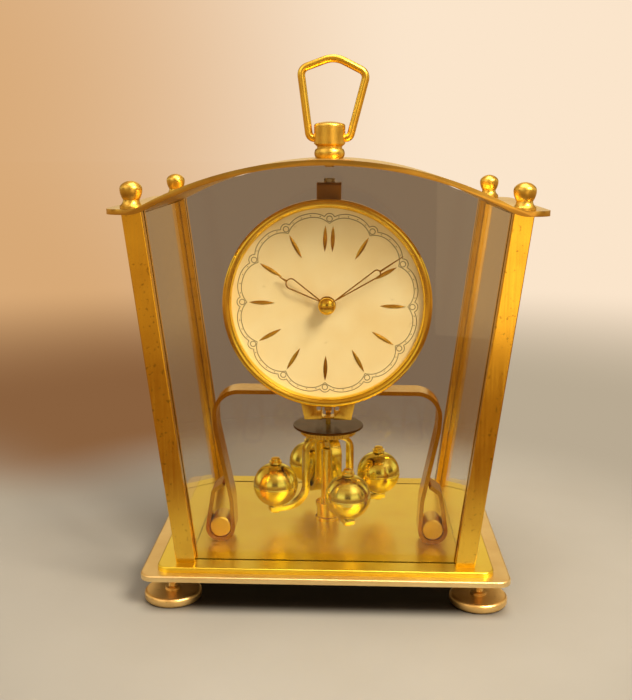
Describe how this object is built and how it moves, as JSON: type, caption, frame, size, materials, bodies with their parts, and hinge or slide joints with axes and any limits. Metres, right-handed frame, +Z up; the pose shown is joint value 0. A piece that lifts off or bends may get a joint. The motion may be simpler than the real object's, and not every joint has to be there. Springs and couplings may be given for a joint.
{
  "type": "mantel clock",
  "caption": "Four-glass mantel clock: leaning brass pillars, arched top with carrying loop, round dial and a torsion pendulum of balls on bent arms.",
  "frame": {"origin": "on the table surface, under the pendulum's axis, at the centre of the footprint", "axes": "+X to the viewer's right when facing the dial, +Y to the back of the clock, +Z up"},
  "size_m": [0.177, 0.126, 0.2304],
  "materials": {
    "brass_polished": "polished and lacquered",
    "brass_satin": "rolled sheet, satin",
    "steel": "turned and brushed",
    "spring_steel": "blued ribbon",
    "dial_enamel": "cream lacquer on metal, semi-gloss",
    "glass": "clear float glass, polished edges"
  },
  "bodies": {
    "case": {"base_plate": "brass_polished", "plinth_plate": "brass_polished", "base_screws": "steel", "corner_pillars": "brass_polished", "top_plate": "brass_polished", "finials": "brass_polished", "glass_front": "glass", "glass_rear": "glass", "glass_left": "glass", "glass_right": "glass", "handle_post": "brass_polished", "handle_nut": "brass_polished", "guide_post": "brass_polished", "strap_frame": "brass_satin", "strap_posts": "brass_polished", "front_plate": "brass_satin", "back_plate": "brass_satin", "plate_pillars": "brass_polished", "movement_screws": "steel", "winding_arbor": "steel", "ratchet_wheel": "steel", "click": "steel", "minute_stud": "steel", "dial": "dial_enamel", "dial_feet": "brass_satin", "bezel": "brass_polished", "hour_markers": "brass_polished", "suspension_bracket": "brass_satin", "suspension_screw": "steel", "top_block": "brass_satin", "suspension_guard": "brass_satin"},
    "pendulum": {"bottom_block": "brass_satin", "suspension_spring": "spring_steel", "pendulum_hub": "brass_polished", "pendulum_arms": "brass_polished", "pendulum_balls": "brass_polished", "ball_screws": "brass_polished", "ball_nuts": "brass_polished"},
    "regulator": {"regulating_disc": "brass_polished"},
    "fork": {"fork": "brass_satin"},
    "anchor": {"anchor": "steel"},
    "minute_arbor": {"centre_wheel": "brass_satin", "cannon_pinion": "steel", "minute_hand": "brass_polished", "hand_nut": "brass_polished"},
    "hour_pipe": {"hour_wheel": "brass_satin", "hour_hand": "brass_polished"},
    "minute_wheel": {"minute_wheel": "brass_satin"},
    "third_wheel": {"third_wheel": "brass_satin"},
    "escape_wheel": {"escape_wheel": "brass_satin"},
    "second_wheel": {"second_wheel": "brass_satin"},
    "first_wheel": {"first_wheel": "brass_satin"},
    "barrel": {"mainspring_barrel": "brass_satin", "mainspring": "spring_steel"},
    "bail": {"handle_bail": "brass_polished"},
    "foot_front_left": {"foot_front_left": "brass_polished"},
    "foot_front_right": {"foot_front_right": "brass_polished"},
    "foot_rear_left": {"foot_rear_left": "brass_polished"},
    "foot_rear_right": {"foot_rear_right": "brass_polished"}
  },
  "joints": [
    {"name": "pendulum_swing", "type": "hinge", "parent": "case", "child": "pendulum", "pos_m": [0, 0, 0.1695], "axis": [0, 0, 1], "range_deg": [-135, 135], "stiffness_Nm_per_rad": 0.000018, "deforming": ["suspension_spring"]},
    {"name": "regulating_turn", "type": "hinge", "parent": "pendulum", "child": "regulator", "pos_m": [0, 0, 0.062], "axis": [0, 0, 1], "range_deg": [-120, 120]},
    {"name": "fork_turn", "type": "hinge", "parent": "case", "child": "fork", "pos_m": [0, 0, 0.165], "axis": [0, 0, 1], "range_deg": [-5.5, 5.5]},
    {"name": "anchor_rock", "type": "hinge", "parent": "case", "child": "anchor", "pos_m": [0, -0.015, 0.15197], "axis": [0, 1, 0], "range_deg": [-5, 5]},
    {"name": "minute_turn", "type": "hinge", "parent": "case", "child": "minute_arbor", "pos_m": [0, -0.03, 0.126], "axis": [0, 1, 0], "continuous": true},
    {"name": "hour_turn", "type": "hinge", "parent": "case", "child": "hour_pipe", "pos_m": [0, -0.03, 0.126], "axis": [0, 1, 0], "continuous": true},
    {"name": "minute_wheel_turn", "type": "hinge", "parent": "case", "child": "minute_wheel", "pos_m": [-0.00786, -0.028, 0.12049], "axis": [0, 1, 0], "continuous": true},
    {"name": "third_wheel_turn", "type": "hinge", "parent": "case", "child": "third_wheel", "pos_m": [0.00868, -0.015, 0.13634], "axis": [0, 1, 0], "continuous": true},
    {"name": "escape_wheel_turn", "type": "hinge", "parent": "case", "child": "escape_wheel", "pos_m": [0, -0.015, 0.14207], "axis": [0, 1, 0], "continuous": true},
    {"name": "second_wheel_turn", "type": "hinge", "parent": "case", "child": "second_wheel", "pos_m": [-0.01103, -0.015, 0.12091], "axis": [0, 1, 0], "continuous": true},
    {"name": "first_wheel_turn", "type": "hinge", "parent": "case", "child": "first_wheel", "pos_m": [-0.0055, -0.015, 0.11026], "axis": [0, 1, 0], "continuous": true},
    {"name": "barrel_turn", "type": "hinge", "parent": "case", "child": "barrel", "pos_m": [0.009, -0.015, 0.1035], "axis": [0, 1, 0], "continuous": true},
    {"name": "bail_swing", "type": "hinge", "parent": "case", "child": "bail", "pos_m": [0, 0, 0.1949], "axis": [1, 0, 0], "range_deg": [-95, 95]},
    {"name": "level_front_left", "type": "slide", "parent": "case", "child": "foot_front_left", "axis": [0, 0, 1], "range_m": [-0.0015, 0.001]},
    {"name": "level_front_right", "type": "slide", "parent": "case", "child": "foot_front_right", "axis": [0, 0, 1], "range_m": [-0.0015, 0.001]},
    {"name": "level_rear_left", "type": "slide", "parent": "case", "child": "foot_rear_left", "axis": [0, 0, 1], "range_m": [-0.0015, 0.001]},
    {"name": "level_rear_right", "type": "slide", "parent": "case", "child": "foot_rear_right", "axis": [0, 0, 1], "range_m": [-0.0015, 0.001]}
  ],
  "couplings": [
    {"joint": "fork_turn", "follows": "pendulum_swing", "ratio": 0.04},
    {"joint": "anchor_rock", "follows": "pendulum_swing", "ratio": 0.0353},
    {"joint": "hour_turn", "follows": "minute_turn", "ratio": 0.083333},
    {"joint": "minute_wheel_turn", "follows": "minute_turn", "ratio": -0.33333},
    {"joint": "third_wheel_turn", "follows": "minute_turn", "ratio": -4},
    {"joint": "escape_wheel_turn", "follows": "minute_turn", "ratio": 13.333},
    {"joint": "second_wheel_turn", "follows": "minute_turn", "ratio": -0.125},
    {"joint": "first_wheel_turn", "follows": "minute_turn", "ratio": 0.013889},
    {"joint": "barrel_turn", "follows": "minute_turn", "ratio": -0.0015432}
  ]
}
